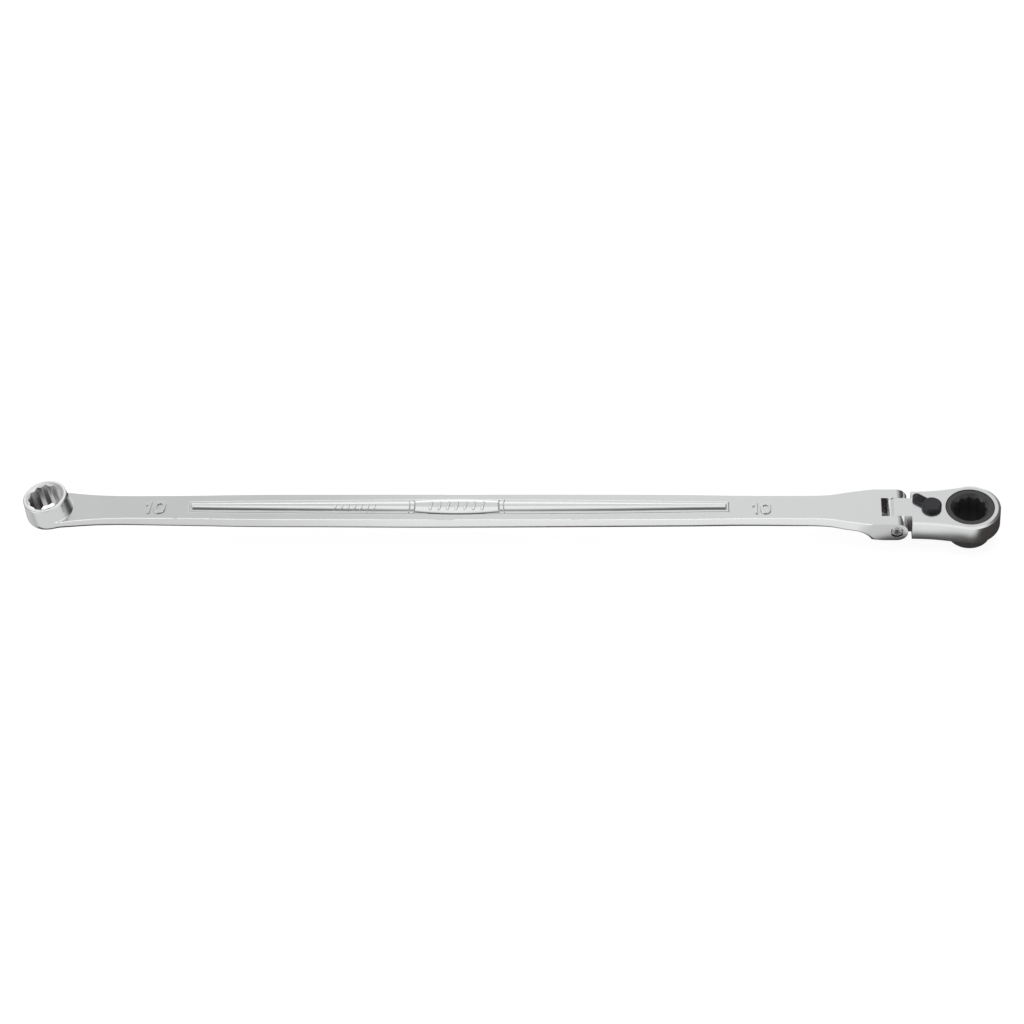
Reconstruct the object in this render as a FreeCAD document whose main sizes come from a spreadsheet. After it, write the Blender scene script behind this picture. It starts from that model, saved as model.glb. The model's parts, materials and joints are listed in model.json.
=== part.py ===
import FreeCAD, Part
import math
import os
import Sketcher

# Flex-head reversible ratchet wrench, 10 mm, double ended.
# Millimetres. Origin: ratchet gear axis, half way through the head.
# +X runs from the fixed ring to the ratchet, +Z is the lever's side.

# Two lengths closer than this are the same.
SMALL = 1e-4

SIZES = {
    # head casting
    "head_radius": 10.3,
    "half_thick": 3.7,
    "neck_half_width": 7.95,
    "shoulder_reach": 19.5,
    "head_bevel_wide": 0.85,
    "head_bevel_deep": 0.33,
    "head_bottom_round": 0.6,
    "chamber_half": 2.1,
    # flex joint
    "hinge_reach": 24.5,
    "tongue_half_width": 4.17,
    "slot_half_width": 4.22,
    "ear_half_width": 8.25,
    "slot_floor_reach": 29.6,
    "scoop_corner_reach": 32.9,
    "scoop_radius": 6.2,
    "pivot_radius": 1.6,
    "thread_radius": 1.45,
    "screw_head_radius": 2.0,
    "screw_head_depth": 1.6,
    "screw_sink": 0.25,
    "screw_end_sink": 0.6,
    "screw_key_radius": 1.15,
    "screw_key_depth": 1.1,
    "running_gap": 0.05,
    # ratchet gear
    "flange_radius": 8.2,
    "flange_drop": 0.08,
    "tooth_tip_radius": 7.95,
    "tooth_root_radius": 7.5,
    "tooth_count": 72,
    "tooth_land": 0.05,
    "collar_radius": 7.1,
    "collar_reach": 9.2,
    "collar_round": 0.5,
    "socket_flats": 10.15,
    "socket_mouth_radius": 6.55,
    "socket_foot_radius": 5.9,
    "ring_groove_radius": 6.6,
    "gear_ring_radius": 7.75,
    "gear_ring_thick": 0.76,
    "gear_ring_recess": 0.85,
    "gear_ring_recess_radius": 7.95,
    "ring_gap_degrees": 330.0,
    # reversing lever
    "lever_reach": 12.85,
    "lever_side_degrees": 37.0,
    "lever_disc_radius": 3.35,
    "lever_rise": 1.7,
    "lever_bevel": 0.5,
    "lever_tab_reach": 7.5,
    "lever_tab_half_width": 1.5,
    "lever_tab_thick": 1.25,
    "lever_ridge_half_width": 0.25,
    "lever_ridge_pitch": 0.9,
    "lever_ridge_rise": 0.3,
    "shaft_radius": 2.3,
    "spigot_radius": 1.7,
    "spigot_reach": 3.2,
    "seal_groove_radius": 1.74,
    "seal_centre": 2.9,
    "seal_wire_radius": 0.28,
    "clip_centre": 2.65,
    "clip_wire_radius": 0.22,
    # pawl and its plunger
    "pawl_rock_degrees": 10.0,
    "pawl_pivot_reach": 8.6,
    "pawl_half_angle": 29.0,
    "pawl_back_radius": 10.7,
    "pawl_chamber_radius": 11.5,
    "pawl_chamber_half_width": 5.6,
    "pawl_chamber_front_reach": 5.25,
    "pawl_chamber_side_reach": 11.155,
    "pawl_tooth_pairs": 5,
    "pawl_back_steps": 5,
    "mesh_gap": 0.04,
    "plunger_radius": 0.95,
    "plunger_wall": 0.22,
    "plunger_tail": 1.0,
    "plunger_nose": 3.2,
    "plunger_bore_back": 1.6,
    "pawl_spring_radius": 0.5,
    "pawl_spring_wire": 0.13,
    "pawl_spring_turns": 5.0,
    # friction plunger of the flex joint
    "hinge_bore_radius": 1.05,
    "hinge_bore_depth": 4.4,
    "hinge_plunger_length": 2.6,
    "hinge_plunger_wall": 0.25,
    "hinge_spring_radius": 0.52,
    "hinge_spring_wire": 0.15,
    "hinge_spring_turns": 5.0,
    # bar
    "bar_thick": 3.85,
    "bar_end_reach": 306.0,
    "rib_start_reach": 259.4,
    "rib_end_reach": 81.2,
    "rib_end_half_width": 1.9,
    "rib_mid_half_width": 2.8,
    "rib_rise": 0.8,
    "panel_start_reach": 185.3,
    "panel_end_reach": 156.8,
    "panel_half_width": 3.0,
    "panel_rise": 1.0,
    # fixed ring
    "ring_lean_degrees": 12.0,
    "ring_base_x": 306.35,
    "ring_base_z": -0.3,
    "ring_high": 9.1,
    "ring_base_radius": 8.15,
    "ring_rim_radius": 7.55,
    "ring_base_round": 2.4,
    "ring_rim_round": 0.35,
    "ring_mouth_radius": 6.55,
}

# Half-widths of the bar against the distance from the gear axis.
BAR_PLAN = [
    (306.0, 7.3), (300.0, 6.5), (292.0, 5.7), (280.0, 5.35), (262.0, 5.35), (245.0, 5.8), (225.0, 5.95),
    (165.0, 6.0), (110.0, 5.95), (90.0, 5.7), (75.0, 5.4), (55.0, 5.4), (47.0, 5.8), (40.0, 7.1),
    (35.0, 8.05), (31.0, 8.25),
]

doc = FreeCAD.newDocument("ratchet_wrench")
sheet = doc.addObject("Spreadsheet::Sheet", "Sizes")
for row, (alias, number) in enumerate(SIZES.items(), start=1):
    sheet.set(f"A{row}", alias)
    sheet.set(f"B{row}", str(number))
    sheet.setAlias(f"B{row}", alias)
doc.recompute()


class Length:
    """A number that comes from the sheet, with the formula that gives it."""

    def __init__(self, number, formula):
        self.number = number
        self.formula = formula

    def __add__(self, other):
        return Length(self.number + other.number, f"({self.formula} + {other.formula})")

    def __sub__(self, other):
        return Length(self.number - other.number, f"({self.formula} - {other.formula})")

    def __neg__(self):
        return Length(-self.number, f"(-{self.formula})")

    def __mul__(self, other):
        if isinstance(other, Length):
            return Length(self.number * other.number, f"({self.formula} * {other.formula})")
        return Length(self.number * other, f"({self.formula} * {other})")

    def __truediv__(self, other):
        if isinstance(other, Length):
            return Length(self.number / other.number, f"({self.formula} / {other.formula})")
        return Length(self.number / other, f"({self.formula} / {other})")


ZERO = Length(0.0, "0")


def size(alias):
    return Length(float(sheet.get(alias)), f"Sizes.{alias}")


def bind(target, name, length):
    target.setExpression(name, length.formula)


def new_body(label):
    body = doc.addObject("PartDesign::Body", label)
    body.Label = label
    return body


def move_body(body, x=ZERO, y=ZERO, z=ZERO, turn_degrees=0.0, about=(0, 0, 1)):
    body.Placement = FreeCAD.Placement(
        FreeCAD.Vector(x.number, y.number, z.number),
        FreeCAD.Rotation(FreeCAD.Vector(*about), turn_degrees),
    )


def new_sketch(body, name, role, shift=None):
    """A sketch on one of the body's origin planes, moved within that plane by shift."""
    plane = next(item for item in body.Origin.OriginFeatures if item.Role == role)
    sketch = body.newObject("Sketcher::SketchObject", name)
    sketch.AttachmentSupport = [(plane, "")]
    sketch.MapMode = "FlatFace"
    if shift:
        sketch.AttachmentOffset = shift
    return sketch


def sideways(x=0.0, y=0.0, z=0.0, turn_degrees=0.0):
    rotation = FreeCAD.Rotation(FreeCAD.Vector(0, 0, 1), turn_degrees)
    return FreeCAD.Placement(FreeCAD.Vector(x, y, z), rotation)


def fix_point(sketch, geometry, end, x, y):
    """Hold one end of a sketch element at x, y from the sketch's origin."""
    for kind, axis, length in (("DistanceX", -2, x), ("DistanceY", -1, y)):
        if abs(length.number) < SMALL:
            sketch.addConstraint(Sketcher.Constraint("PointOnObject", geometry, end, axis))
        else:
            constraint = Sketcher.Constraint(kind, -1, 1, geometry, end, length.number)
            index = sketch.addConstraint(constraint)
            bind(sketch, f"Constraints[{index}]", length)


def arc_between(start, end, radius, turn):
    """The arc from start to end, turning left (+1) or right (-1), under half a circle."""
    chord = end - start
    sagitta = math.sqrt(max(radius**2 - (chord.Length / 2) ** 2, 0.0))
    normal = FreeCAD.Vector(-chord.y, chord.x, 0).normalize()
    centre = (start + end) / 2 + normal * sagitta * turn
    first, last = (start, end) if turn > 0 else (end, start)
    angles = [math.atan2(point.y - centre.y, point.x - centre.x) for point in (first, last)]
    circle = Part.Circle(centre, FreeCAD.Vector(0, 0, 1), radius)
    return Part.ArcOfCircle(circle, angles[0], angles[1])


def draw_outline(sketch, corners):
    """A closed outline. A corner is (x, y), or (x, y, radius, turn) where an arc leaves it."""
    points = [FreeCAD.Vector(corner[0].number, corner[1].number, 0) for corner in corners]
    starts = []
    ends = []
    for index, corner in enumerate(corners):
        start = points[index]
        end = points[(index + 1) % len(points)]
        if len(corner) == 4:
            radius, turn = corner[2:]
            edge = sketch.addGeometry(arc_between(start, end, radius.number, turn), False)
            radius_index = sketch.addConstraint(Sketcher.Constraint("Radius", edge, radius.number))
            bind(sketch, f"Constraints[{radius_index}]", radius)
            starts.append((edge, 1 if turn > 0 else 2))
            ends.append((edge, 2 if turn > 0 else 1))
        else:
            edge = sketch.addGeometry(Part.LineSegment(start, end), False)
            starts.append((edge, 1))
            ends.append((edge, 2))
    for index, corner in enumerate(corners):
        sketch.addConstraint(Sketcher.Constraint("Coincident", *ends[index - 1], *starts[index]))
        fix_point(sketch, *starts[index], corner[0], corner[1])


def draw_circle(sketch, radius, x=ZERO, y=ZERO):
    centre = FreeCAD.Vector(x.number, y.number, 0)
    circle = sketch.addGeometry(Part.Circle(centre, FreeCAD.Vector(0, 0, 1), radius.number), False)
    index = sketch.addConstraint(Sketcher.Constraint("Radius", circle, radius.number))
    bind(sketch, f"Constraints[{index}]", radius)
    fix_point(sketch, circle, 3, x, y)


def draw_rectangle(sketch, left, right, low, high):
    draw_outline(sketch, [(left, low), (right, low), (right, high), (left, high)])


def draw_points(sketch, points):
    """A closed outline of straight edges through computed points."""
    vectors = [FreeCAD.Vector(x, y, 0) for x, y in points]
    for index, start in enumerate(vectors):
        end = vectors[(index + 1) % len(vectors)]
        sketch.addGeometry(Part.LineSegment(start, end), False)
    for index in range(len(vectors)):
        following = (index + 1) % len(vectors)
        sketch.addConstraint(Sketcher.Constraint("Coincident", index, 2, following, 1))


def extrude(body, kind, sketch, length, symmetric=True, backwards=False):
    feature = body.newObject(f"PartDesign::{kind}", f"{sketch.Name}_{kind.lower()}")
    feature.Profile = sketch
    if symmetric:
        feature.SideType = "Symmetric"
    feature.Reversed = backwards
    bind(feature, "Length", length)
    doc.recompute()
    return feature


def revolve(body, kind, sketch, axis, degrees=None):
    feature = body.newObject(f"PartDesign::{kind}", f"{sketch.Name}_{kind.lower()}")
    feature.Profile = sketch
    feature.ReferenceAxis = (sketch, [axis])
    if degrees:
        bind(feature, "Angle", degrees)
    doc.recompute()
    return feature


def new_edge_feature(body, kind, name, edges):
    base = body.Tip
    feature = body.newObject(f"PartDesign::{kind}", name)
    feature.Base = (base, edges)
    return feature


def cut_twelve_point(body, placement, depth):
    """A twelve-point hole: two six-sided prisms, half a flat apart."""
    corner_radius = size("socket_flats") / (2 * math.cos(math.radians(30)))
    for name, turn in (("points_even", 0.0), ("points_odd", 30.0)):
        prism = body.newObject("PartDesign::SubtractivePrism", name)
        prism.Polygon = 6
        bind(prism, "Circumradius", corner_radius)
        bind(prism, "Height", depth)
        twist = FreeCAD.Placement(FreeCAD.Vector(), FreeCAD.Rotation(FreeCAD.Vector(0, 0, 1), turn))
        prism.Placement = placement.multiply(twist)
        doc.recompute()


def cut_mouth(body, name, placement, wide, narrow):
    """A conical lead-in whose depth equals the drop in radius."""
    cone = body.newObject("PartDesign::SubtractiveCone", name)
    bind(cone, "Radius1", narrow)
    bind(cone, "Radius2", wide)
    bind(cone, "Height", wide - narrow)
    cone.Placement = placement
    doc.recompute()


def along(x, y, z, direction=(0, 0, 1)):
    """A placement at x, y, z whose own Z points along direction."""
    rotation = FreeCAD.Rotation(FreeCAD.Vector(0, 0, 1), FreeCAD.Vector(*direction))
    return FreeCAD.Placement(FreeCAD.Vector(x, y, z), rotation)


def make_head_housing():
    body = new_body("head_housing")
    plan_head(body)
    tongue = new_sketch(body, "tongue_side", "XZ_Plane")
    hinge = -size("hinge_reach")
    thick = size("half_thick")
    inside = -size("shoulder_reach") + thick
    draw_outline(tongue, [
        (hinge, thick, thick, 1), (hinge - thick, ZERO, thick, 1), (hinge, -thick),
        (inside, -thick), (inside, thick),
    ])
    extrude(body, "Pad", tongue, size("tongue_half_width") * 2)
    bore_gear_seat(body)
    hollow_pawl_chamber(body)
    bore_lever_seat(body)
    pivot = new_sketch(body, "pivot_hole", "XZ_Plane")
    draw_circle(pivot, size("pivot_radius") + size("running_gap"), hinge)
    extrude(body, "Pocket", pivot, size("ear_half_width") * 2)
    return body


def plan_head(body):
    """The pear-shaped block: a round end and two long hollow flanks that meet it smoothly."""
    plan = new_sketch(body, "head_plan", "XY_Plane")
    radius = size("head_radius")
    width = size("neck_half_width")
    reach = size("shoulder_reach")
    flank = (reach * reach + width * width - radius * radius) / ((radius - width) * 2)
    share = radius / (radius + flank)
    touch_x = -(reach * share)
    touch_y = (width + flank) * share
    draw_outline(plan, [
        (-reach, -width, flank, -1),
        (touch_x, -touch_y, radius, 1),
        (radius, ZERO, radius, 1),
        (touch_x, touch_y, flank, -1),
        (-reach, width),
    ])
    extrude(body, "Pad", plan, size("half_thick") * 2)
    thick = size("half_thick")
    bevel = new_edge_feature(body, "Chamfer", "top_bevel", outer_edges(body, thick.number))
    bevel.ChamferType = "Two distances"
    bind(bevel, "Size", size("head_bevel_deep"))
    bind(bevel, "Size2", size("head_bevel_wide"))
    doc.recompute()
    rounding = new_edge_feature(body, "Fillet", "bottom_round", outer_edges(body, -thick.number))
    bind(rounding, "Radius", size("head_bottom_round"))
    doc.recompute()


def outer_edges(body, height):
    """The head's level edges at one height, without the shoulder's straight one."""
    shoulder = -size("shoulder_reach").number
    names = []
    for number, edge in enumerate(body.Tip.Shape.Edges, start=1):
        box = edge.BoundBox
        level = abs(box.ZMin - height) < SMALL and abs(box.ZMax - height) < SMALL
        if level and edge.CenterOfMass.x > shoulder + SMALL:
            names.append(f"Edge{number}")
    return names


def bore_gear_seat(body):
    seat = new_sketch(body, "gear_seat", "XZ_Plane")
    top = size("half_thick")
    level = size("chamber_half")
    gap = size("running_gap")
    flange = size("flange_radius") + gap
    chamber = size("tooth_tip_radius") + gap * 2
    collar = size("collar_radius") + gap
    recess = size("gear_ring_recess_radius")
    recess_top = -top + size("gear_ring_recess")
    draw_outline(seat, [
        (ZERO, -top), (recess, -top), (recess, recess_top), (collar, recess_top), (collar, -level),
        (chamber, -level), (chamber, level), (flange, level), (flange, top), (ZERO, top),
    ])
    revolve(body, "Groove", seat, "V_Axis")


def hollow_pawl_chamber(body):
    """The slot behind the gear that the pawl rocks in, milled from the gear's seat."""
    chamber = new_sketch(body, "pawl_chamber", "XY_Plane")
    half = size("pawl_chamber_half_width")
    near = -size("pawl_chamber_front_reach")
    back = -size("pawl_chamber_side_reach")
    radius = size("pawl_chamber_radius")
    draw_outline(chamber, [(back, -half), (near, -half), (near, half), (back, half, radius, 1)])
    extrude(body, "Pocket", chamber, size("chamber_half") * 2)


def bore_lever_seat(body):
    seat = new_sketch(body, "lever_seat", "XZ_Plane", sideways(x=-size("lever_reach").number))
    gap = size("running_gap")
    shaft = size("shaft_radius") + gap
    spigot = size("spigot_radius") + gap
    floor = -size("spigot_reach") - gap
    level = -size("chamber_half")
    top = size("half_thick")
    draw_outline(seat, [
        (ZERO, floor), (spigot, floor), (spigot, level), (shaft, level), (shaft, top), (ZERO, top),
    ])
    revolve(body, "Groove", seat, "V_Axis")
    groove = new_sketch(body, "clip_groove", "XZ_Plane", sideways(x=-size("lever_reach").number))
    draw_circle(groove, size("clip_wire_radius") + gap, spigot, -size("clip_centre"))
    revolve(body, "Groove", groove, "V_Axis")


def make_ratchet_gear():
    body = new_body("ratchet_gear")
    profile = new_sketch(body, "gear_profile", "XZ_Plane")
    gap = size("running_gap")
    top = size("half_thick") - size("flange_drop")
    edge = size("collar_round")
    flange = size("flange_radius")
    flange_low = size("chamber_half") + gap
    tip = size("tooth_tip_radius")
    collar = size("collar_radius")
    groove = size("ring_groove_radius")
    groove_top = -size("half_thick") + size("gear_ring_recess") - gap / 2
    groove_low = groove_top - size("gear_ring_thick") - gap
    foot = -size("collar_reach")
    draw_outline(profile, [
        (ZERO, foot), (collar - edge, foot), (collar, foot + edge), (collar, groove_low),
        (groove, groove_low), (groove, groove_top), (collar, groove_top),
        (collar, -size("chamber_half") + gap),
        (tip, -size("chamber_half") + gap), (tip, flange_low), (flange, flange_low),
        (flange, top - edge / 2), (flange - edge / 2, top), (ZERO, top),
    ])
    revolve(body, "Revolution", profile, "V_Axis")
    cut_ratchet_teeth(body)
    height = size("collar_reach") + size("half_thick")
    cut_twelve_point(body, along(0, 0, foot.number - gap.number), height + gap)
    mouth = size("socket_mouth_radius")
    inner = size("socket_flats") / 2
    drop = (mouth - inner).number
    cut_mouth(body, "mouth_top", along(0, 0, top.number - drop), mouth, inner)
    mouth = size("socket_foot_radius")
    drop = (mouth - inner).number
    cut_mouth(body, "mouth_foot", along(0, 0, foot.number + drop, (0, 0, -1)), mouth, inner)
    return body


def cut_ratchet_teeth(body):
    gash = new_sketch(body, "tooth_gash", "XY_Plane")
    tip = size("tooth_tip_radius")
    pitch = 2 * math.pi / size("tooth_count").number
    half_gash = tip * math.sin(pitch / 2) - size("tooth_land")
    outside = tip + size("mesh_gap")
    draw_outline(gash, [(size("tooth_root_radius"), ZERO), (outside, -half_gash), (outside, half_gash)])
    pocket = extrude(body, "Pocket", gash, (size("chamber_half") + size("running_gap")) * 2)
    pattern = body.newObject("PartDesign::PolarPattern", "tooth_gashes")
    pattern.Originals = [pocket]
    pattern.Axis = (gash, ["N_Axis"])
    pattern.Angle = 360
    bind(pattern, "Occurrences", size("tooth_count"))
    body.Tip = pattern
    doc.recompute()


def make_gear_retaining_ring():
    """An open spring ring in the gear's groove, under the head."""
    body = new_body("gear_retaining_ring")
    section = new_sketch(body, "ring_section", "XZ_Plane")
    gap = size("running_gap")
    top = -size("half_thick") + size("gear_ring_recess") - gap
    inner = size("ring_groove_radius") + gap
    draw_rectangle(section, inner, size("gear_ring_radius"), top - size("gear_ring_thick"), top)
    revolve(body, "Revolution", section, "V_Axis", size("ring_gap_degrees"))
    return body


def make_reversing_lever():
    """Thumb tab, disc and cross-drilled shaft in one piece. The tab lies along -X here."""
    body = new_body("reversing_lever")
    gap = size("running_gap")
    face = size("half_thick") + gap
    top = size("half_thick") + size("lever_rise")
    disc = size("lever_disc_radius")
    shaft = size("shaft_radius")
    spigot = size("spigot_radius")
    level = -size("chamber_half") + gap
    foot = -size("spigot_reach")
    edge = size("lever_bevel")
    profile = new_sketch(body, "lever_profile", "XZ_Plane")
    draw_outline(profile, [
        (ZERO, foot), (spigot, foot), (spigot, level), (shaft, level), (shaft, face), (disc, face),
        (disc, top - edge), (disc - edge, top), (ZERO, top),
    ])
    revolve(body, "Revolution", profile, "V_Axis")
    half = size("lever_tab_half_width")
    reach = size("lever_tab_reach")
    tab = new_sketch(body, "tab_plan", "XY_Plane", sideways(z=(face + gap).number))
    draw_outline(tab, [
        (half - reach, half, half, 1), (-reach, ZERO, half, 1), (half - reach, -half),
        (ZERO, -half), (ZERO, half),
    ])
    extrude(body, "Pad", tab, size("lever_tab_thick"), symmetric=False)
    tab_top = sideways(z=(face + size("lever_tab_thick")).number)
    ridges = new_sketch(body, "tab_ridges", "XY_Plane", tab_top)
    ridge_half = size("lever_ridge_half_width")
    for row in (-1, 0, 1):
        middle = size("lever_ridge_pitch") * row
        draw_rectangle(ridges, half - reach, -disc, middle - ridge_half, middle + ridge_half)
    extrude(body, "Pad", ridges, size("lever_ridge_rise"), symmetric=False)
    groove = new_sketch(body, "seal_groove", "XZ_Plane")
    wire = size("seal_wire_radius") + gap
    seat = size("seal_centre")
    draw_rectangle(groove, size("seal_groove_radius"), shaft + gap, seat - wire, seat + wire)
    revolve(body, "Groove", groove, "V_Axis")
    clip = new_sketch(body, "clip_groove_inner", "XZ_Plane")
    draw_circle(clip, size("clip_wire_radius") + gap, spigot, -size("clip_centre"))
    revolve(body, "Groove", clip, "V_Axis")
    bore = new_sketch(body, "plunger_bore", "XZ_Plane")
    draw_rectangle(bore, -size("plunger_bore_back"), shaft + gap, ZERO, size("plunger_radius") + gap)
    revolve(body, "Groove", bore, "H_Axis")
    put_on_lever(body)
    return body


def put_on_lever(body):
    """Place a piece that is drawn about the lever's axis, plunger side along +X."""
    move_body(body, x=-size("lever_reach"), turn_degrees=-size("lever_side_degrees").number)


def make_wire_ring(label, radius, wire, height, degrees):
    body = new_body(label)
    section = new_sketch(body, f"{label}_section", "XZ_Plane")
    draw_circle(section, wire, radius, height)
    revolve(body, "Revolution", section, "V_Axis", degrees)
    put_on_lever(body)
    return body


def make_lever_seal():
    """Rubber ring that keeps dirt out and gives the lever its drag."""
    return make_wire_ring(
        "lever_seal", size("seal_groove_radius") + size("seal_wire_radius"), size("seal_wire_radius"),
        size("seal_centre"), Length(360.0, "360"),
    )


def make_lever_clip():
    """Open wire ring, half in the shaft's groove and half in the head's."""
    return make_wire_ring(
        "lever_clip", size("spigot_radius") + size("running_gap") / 2, size("clip_wire_radius"),
        -size("clip_centre"), size("ring_gap_degrees"),
    )


def make_plunger(label, radius, wall, tail, nose):
    """A cup with a round nose, turned about X, open at the tail for its spring."""
    body = new_body(label)
    profile = new_sketch(body, f"{label}_profile", "XZ_Plane")
    inner = radius - wall
    floor = nose - radius
    draw_outline(profile, [
        (tail, inner), (floor, inner), (floor, ZERO), (nose, ZERO, radius, 1),
        (nose - radius, radius), (tail, radius),
    ])
    revolve(body, "Revolution", profile, "H_Axis")
    return body


def make_spring(label, radius, wire, start, end, turns):
    """A coil spring about X from start to end."""
    body = new_body(label)
    section = new_sketch(body, f"{label}_section", "XZ_Plane")
    draw_circle(section, wire, radius)
    coil = body.newObject("PartDesign::AdditiveHelix", f"{label}_coil")
    coil.Profile = section
    coil.ReferenceAxis = (section, ["V_Axis"])
    coil.Mode = "height-turns-angle"
    bind(coil, "Height", end - start - wire * 2)
    bind(coil, "Turns", turns)
    doc.recompute()
    return body


def make_pawl_plunger():
    body = make_plunger(
        "pawl_plunger",
        size("plunger_radius"),
        size("plunger_wall"),
        size("plunger_tail"),
        size("plunger_nose"),
    )
    put_on_lever(body)
    return body


def make_pawl_spring():
    start = -size("plunger_bore_back")
    end = size("plunger_nose") - size("plunger_radius")
    wire = size("pawl_spring_wire")
    turns = size("pawl_spring_turns")
    body = make_spring("pawl_spring", size("pawl_spring_radius"), wire, start, end, turns)
    side = -size("lever_side_degrees").number
    lying = FreeCAD.Rotation(FreeCAD.Vector(0, 1, 0), 90)
    turned = FreeCAD.Rotation(FreeCAD.Vector(0, 0, 1), side)
    from_axis = turned.multVec(FreeCAD.Vector((start + wire).number, 0, 0))
    base = FreeCAD.Vector(-size("lever_reach").number, 0, 0) + from_axis
    body.Placement = FreeCAD.Placement(base, turned.multiply(lying))
    return body


def make_pawl():
    """A rocking block with two groups of teeth. One group is in mesh at each end of its rock."""
    body = new_body("pawl")
    plan = new_sketch(body, "pawl_plan", "XY_Plane")
    lower = pawl_side(-1)
    upper = [(x, -y) for x, y in reversed(lower[1:-1])]
    draw_points(plan, lower + upper)
    height = (size("chamber_half") - size("running_gap")) * 2
    extrude(body, "Pad", plan, height)
    for name, side in (("near_scoop", -1), ("far_scoop", 1)):
        scoop = new_sketch(body, name, "XY_Plane")
        lever_x, lever_y = rock(-size("lever_reach").number, 0.0, side)
        radius = size("plunger_nose").number + size("mesh_gap").number
        centre = FreeCAD.Vector(lever_x, lever_y, 0)
        scoop.addGeometry(Part.Circle(centre, FreeCAD.Vector(0, 0, 1), radius), False)
        extrude(body, "Pocket", scoop, height)
    pivot = FreeCAD.Vector(-size("pawl_pivot_reach").number, 0, 0)
    half_rock = size("pawl_rock_degrees").number / 2
    turn = FreeCAD.Rotation(FreeCAD.Vector(0, 0, 1), half_rock)
    body.Placement = FreeCAD.Placement(FreeCAD.Vector(), turn, pivot)
    return body


def rock(x, y, side):
    """Where a fixed point is, seen from the pawl, when the pawl has rocked to one side."""
    pivot = -size("pawl_pivot_reach").number
    angle = math.radians(size("pawl_rock_degrees").number / 2 * side)
    along_x = x - pivot
    turned_x = along_x * math.cos(angle) - y * math.sin(angle)
    turned_y = along_x * math.sin(angle) + y * math.cos(angle)
    return pivot + turned_x, turned_y


def pawl_side(side):
    """Half of the pawl's outline, from the middle of its front round to the middle of its back."""
    gap = size("mesh_gap").number
    root = size("tooth_root_radius").number
    mouth = size("tooth_tip_radius").number + gap
    pitch = 2 * math.pi / size("tooth_count").number
    half_tooth = mouth * math.sin(pitch / 2)
    half_gash = half_tooth - size("tooth_land").number
    flank = math.atan2(half_gash, mouth - root)
    tip = root + gap / math.sin(flank)
    valley = tip + half_tooth / math.tan(flank)
    middle = valley + gap
    centre = rock(0.0, 0.0, side)
    tilt = math.radians(size("pawl_rock_degrees").number / 2 * side)

    def at(radius, steps):
        angle = math.pi + tilt - side * steps * pitch
        return centre[0] + radius * math.cos(angle), centre[1] + radius * math.sin(angle)

    first = 2
    points = [(-middle, 0.0), at(middle, first - 0.5)]
    for tooth in range(int(size("pawl_tooth_pairs").number)):
        points.append(at(tip, first + tooth))
        points.append(at(valley, first + tooth + 0.5))
    back = size("pawl_back_radius").number
    half_angle = math.radians(size("pawl_half_angle").number)
    steps = int(size("pawl_back_steps").number)
    for step in range(steps, 0, -1):
        angle = math.pi - side * half_angle * step / steps
        points.append((back * math.cos(angle), back * math.sin(angle)))
    points.append((-back, 0.0))
    return points


def make_pivot_screw():
    """Socket screw on the flex axis: head in the near ear, thread in the far one."""
    body = new_body("pivot_screw")
    profile = new_sketch(body, "screw_profile", "XZ_Plane")
    ear = size("ear_half_width")
    front = -ear + size("screw_sink")
    under_head = front + size("screw_head_depth")
    shank_end = size("slot_half_width")
    tail = ear - size("screw_end_sink")
    head = size("screw_head_radius")
    shank = size("pivot_radius")
    thread = size("thread_radius")
    edge = size("screw_sink")
    draw_outline(profile, [
        (ZERO, front), (head - edge, front), (head, front + edge), (head, under_head), (shank, under_head),
        (shank, shank_end), (thread, shank_end), (thread, tail - edge), (thread - edge, tail), (ZERO, tail),
    ])
    revolve(body, "Revolution", profile, "V_Axis")
    key = body.newObject("PartDesign::SubtractivePrism", "hex_key_socket")
    key.Polygon = 6
    bind(key, "Circumradius", size("screw_key_radius"))
    bind(key, "Height", size("screw_key_depth"))
    key.Placement = along(0, 0, front.number)
    doc.recompute()
    move_body(body, x=-size("hinge_reach"), turn_degrees=-90.0, about=(1, 0, 0))
    return body


def make_hinge_plunger():
    nose = -size("hinge_reach") - size("half_thick") - size("running_gap") / 2
    return make_plunger(
        "hinge_plunger", size("hinge_bore_radius") - size("running_gap"), size("hinge_plunger_wall"),
        nose - size("hinge_plunger_length"), nose,
    )


def make_hinge_spring():
    start = -size("slot_floor_reach") - size("hinge_bore_depth")
    nose = -size("hinge_reach") - size("half_thick") - size("running_gap") / 2
    end = nose - size("hinge_bore_radius") + size("running_gap")
    wire = size("hinge_spring_wire")
    turns = size("hinge_spring_turns")
    body = make_spring("hinge_spring", size("hinge_spring_radius"), wire, start, end, turns)
    move_body(body, x=start + wire, turn_degrees=90.0, about=(0, 1, 0))
    return body


def make_handle():
    """The forging: fixed ring, bar with its rib, and the fork of the flex joint."""
    body = new_body("handle")
    shape_bar_side(body)
    trim_bar_plan(body)
    add_rib(body)
    add_ring(body)
    open_fork(body)
    return body


def shape_bar_side(body):
    side = new_sketch(body, "bar_side", "XZ_Plane")
    thick = size("half_thick")
    hinge = -size("hinge_reach")
    under = thick - size("bar_thick")
    corner = -size("scoop_corner_reach")
    scoop = size("scoop_radius")
    drop = under + thick
    run = math.sqrt(2 * scoop.number * drop.number - drop.number**2)
    scoop_run = Length(run, f"sqrt({(scoop * drop * 2 - drop * drop).formula})")
    end = -size("bar_end_reach")
    draw_outline(side, [
        (end, under), (corner - scoop_run, under, scoop, -1), (corner, -thick), (hinge, -thick, thick, 1),
        (hinge + thick, ZERO, thick, 1), (hinge, thick), (end, thick),
    ])
    extrude(body, "Pad", side, size("ear_half_width") * 2)


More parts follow.
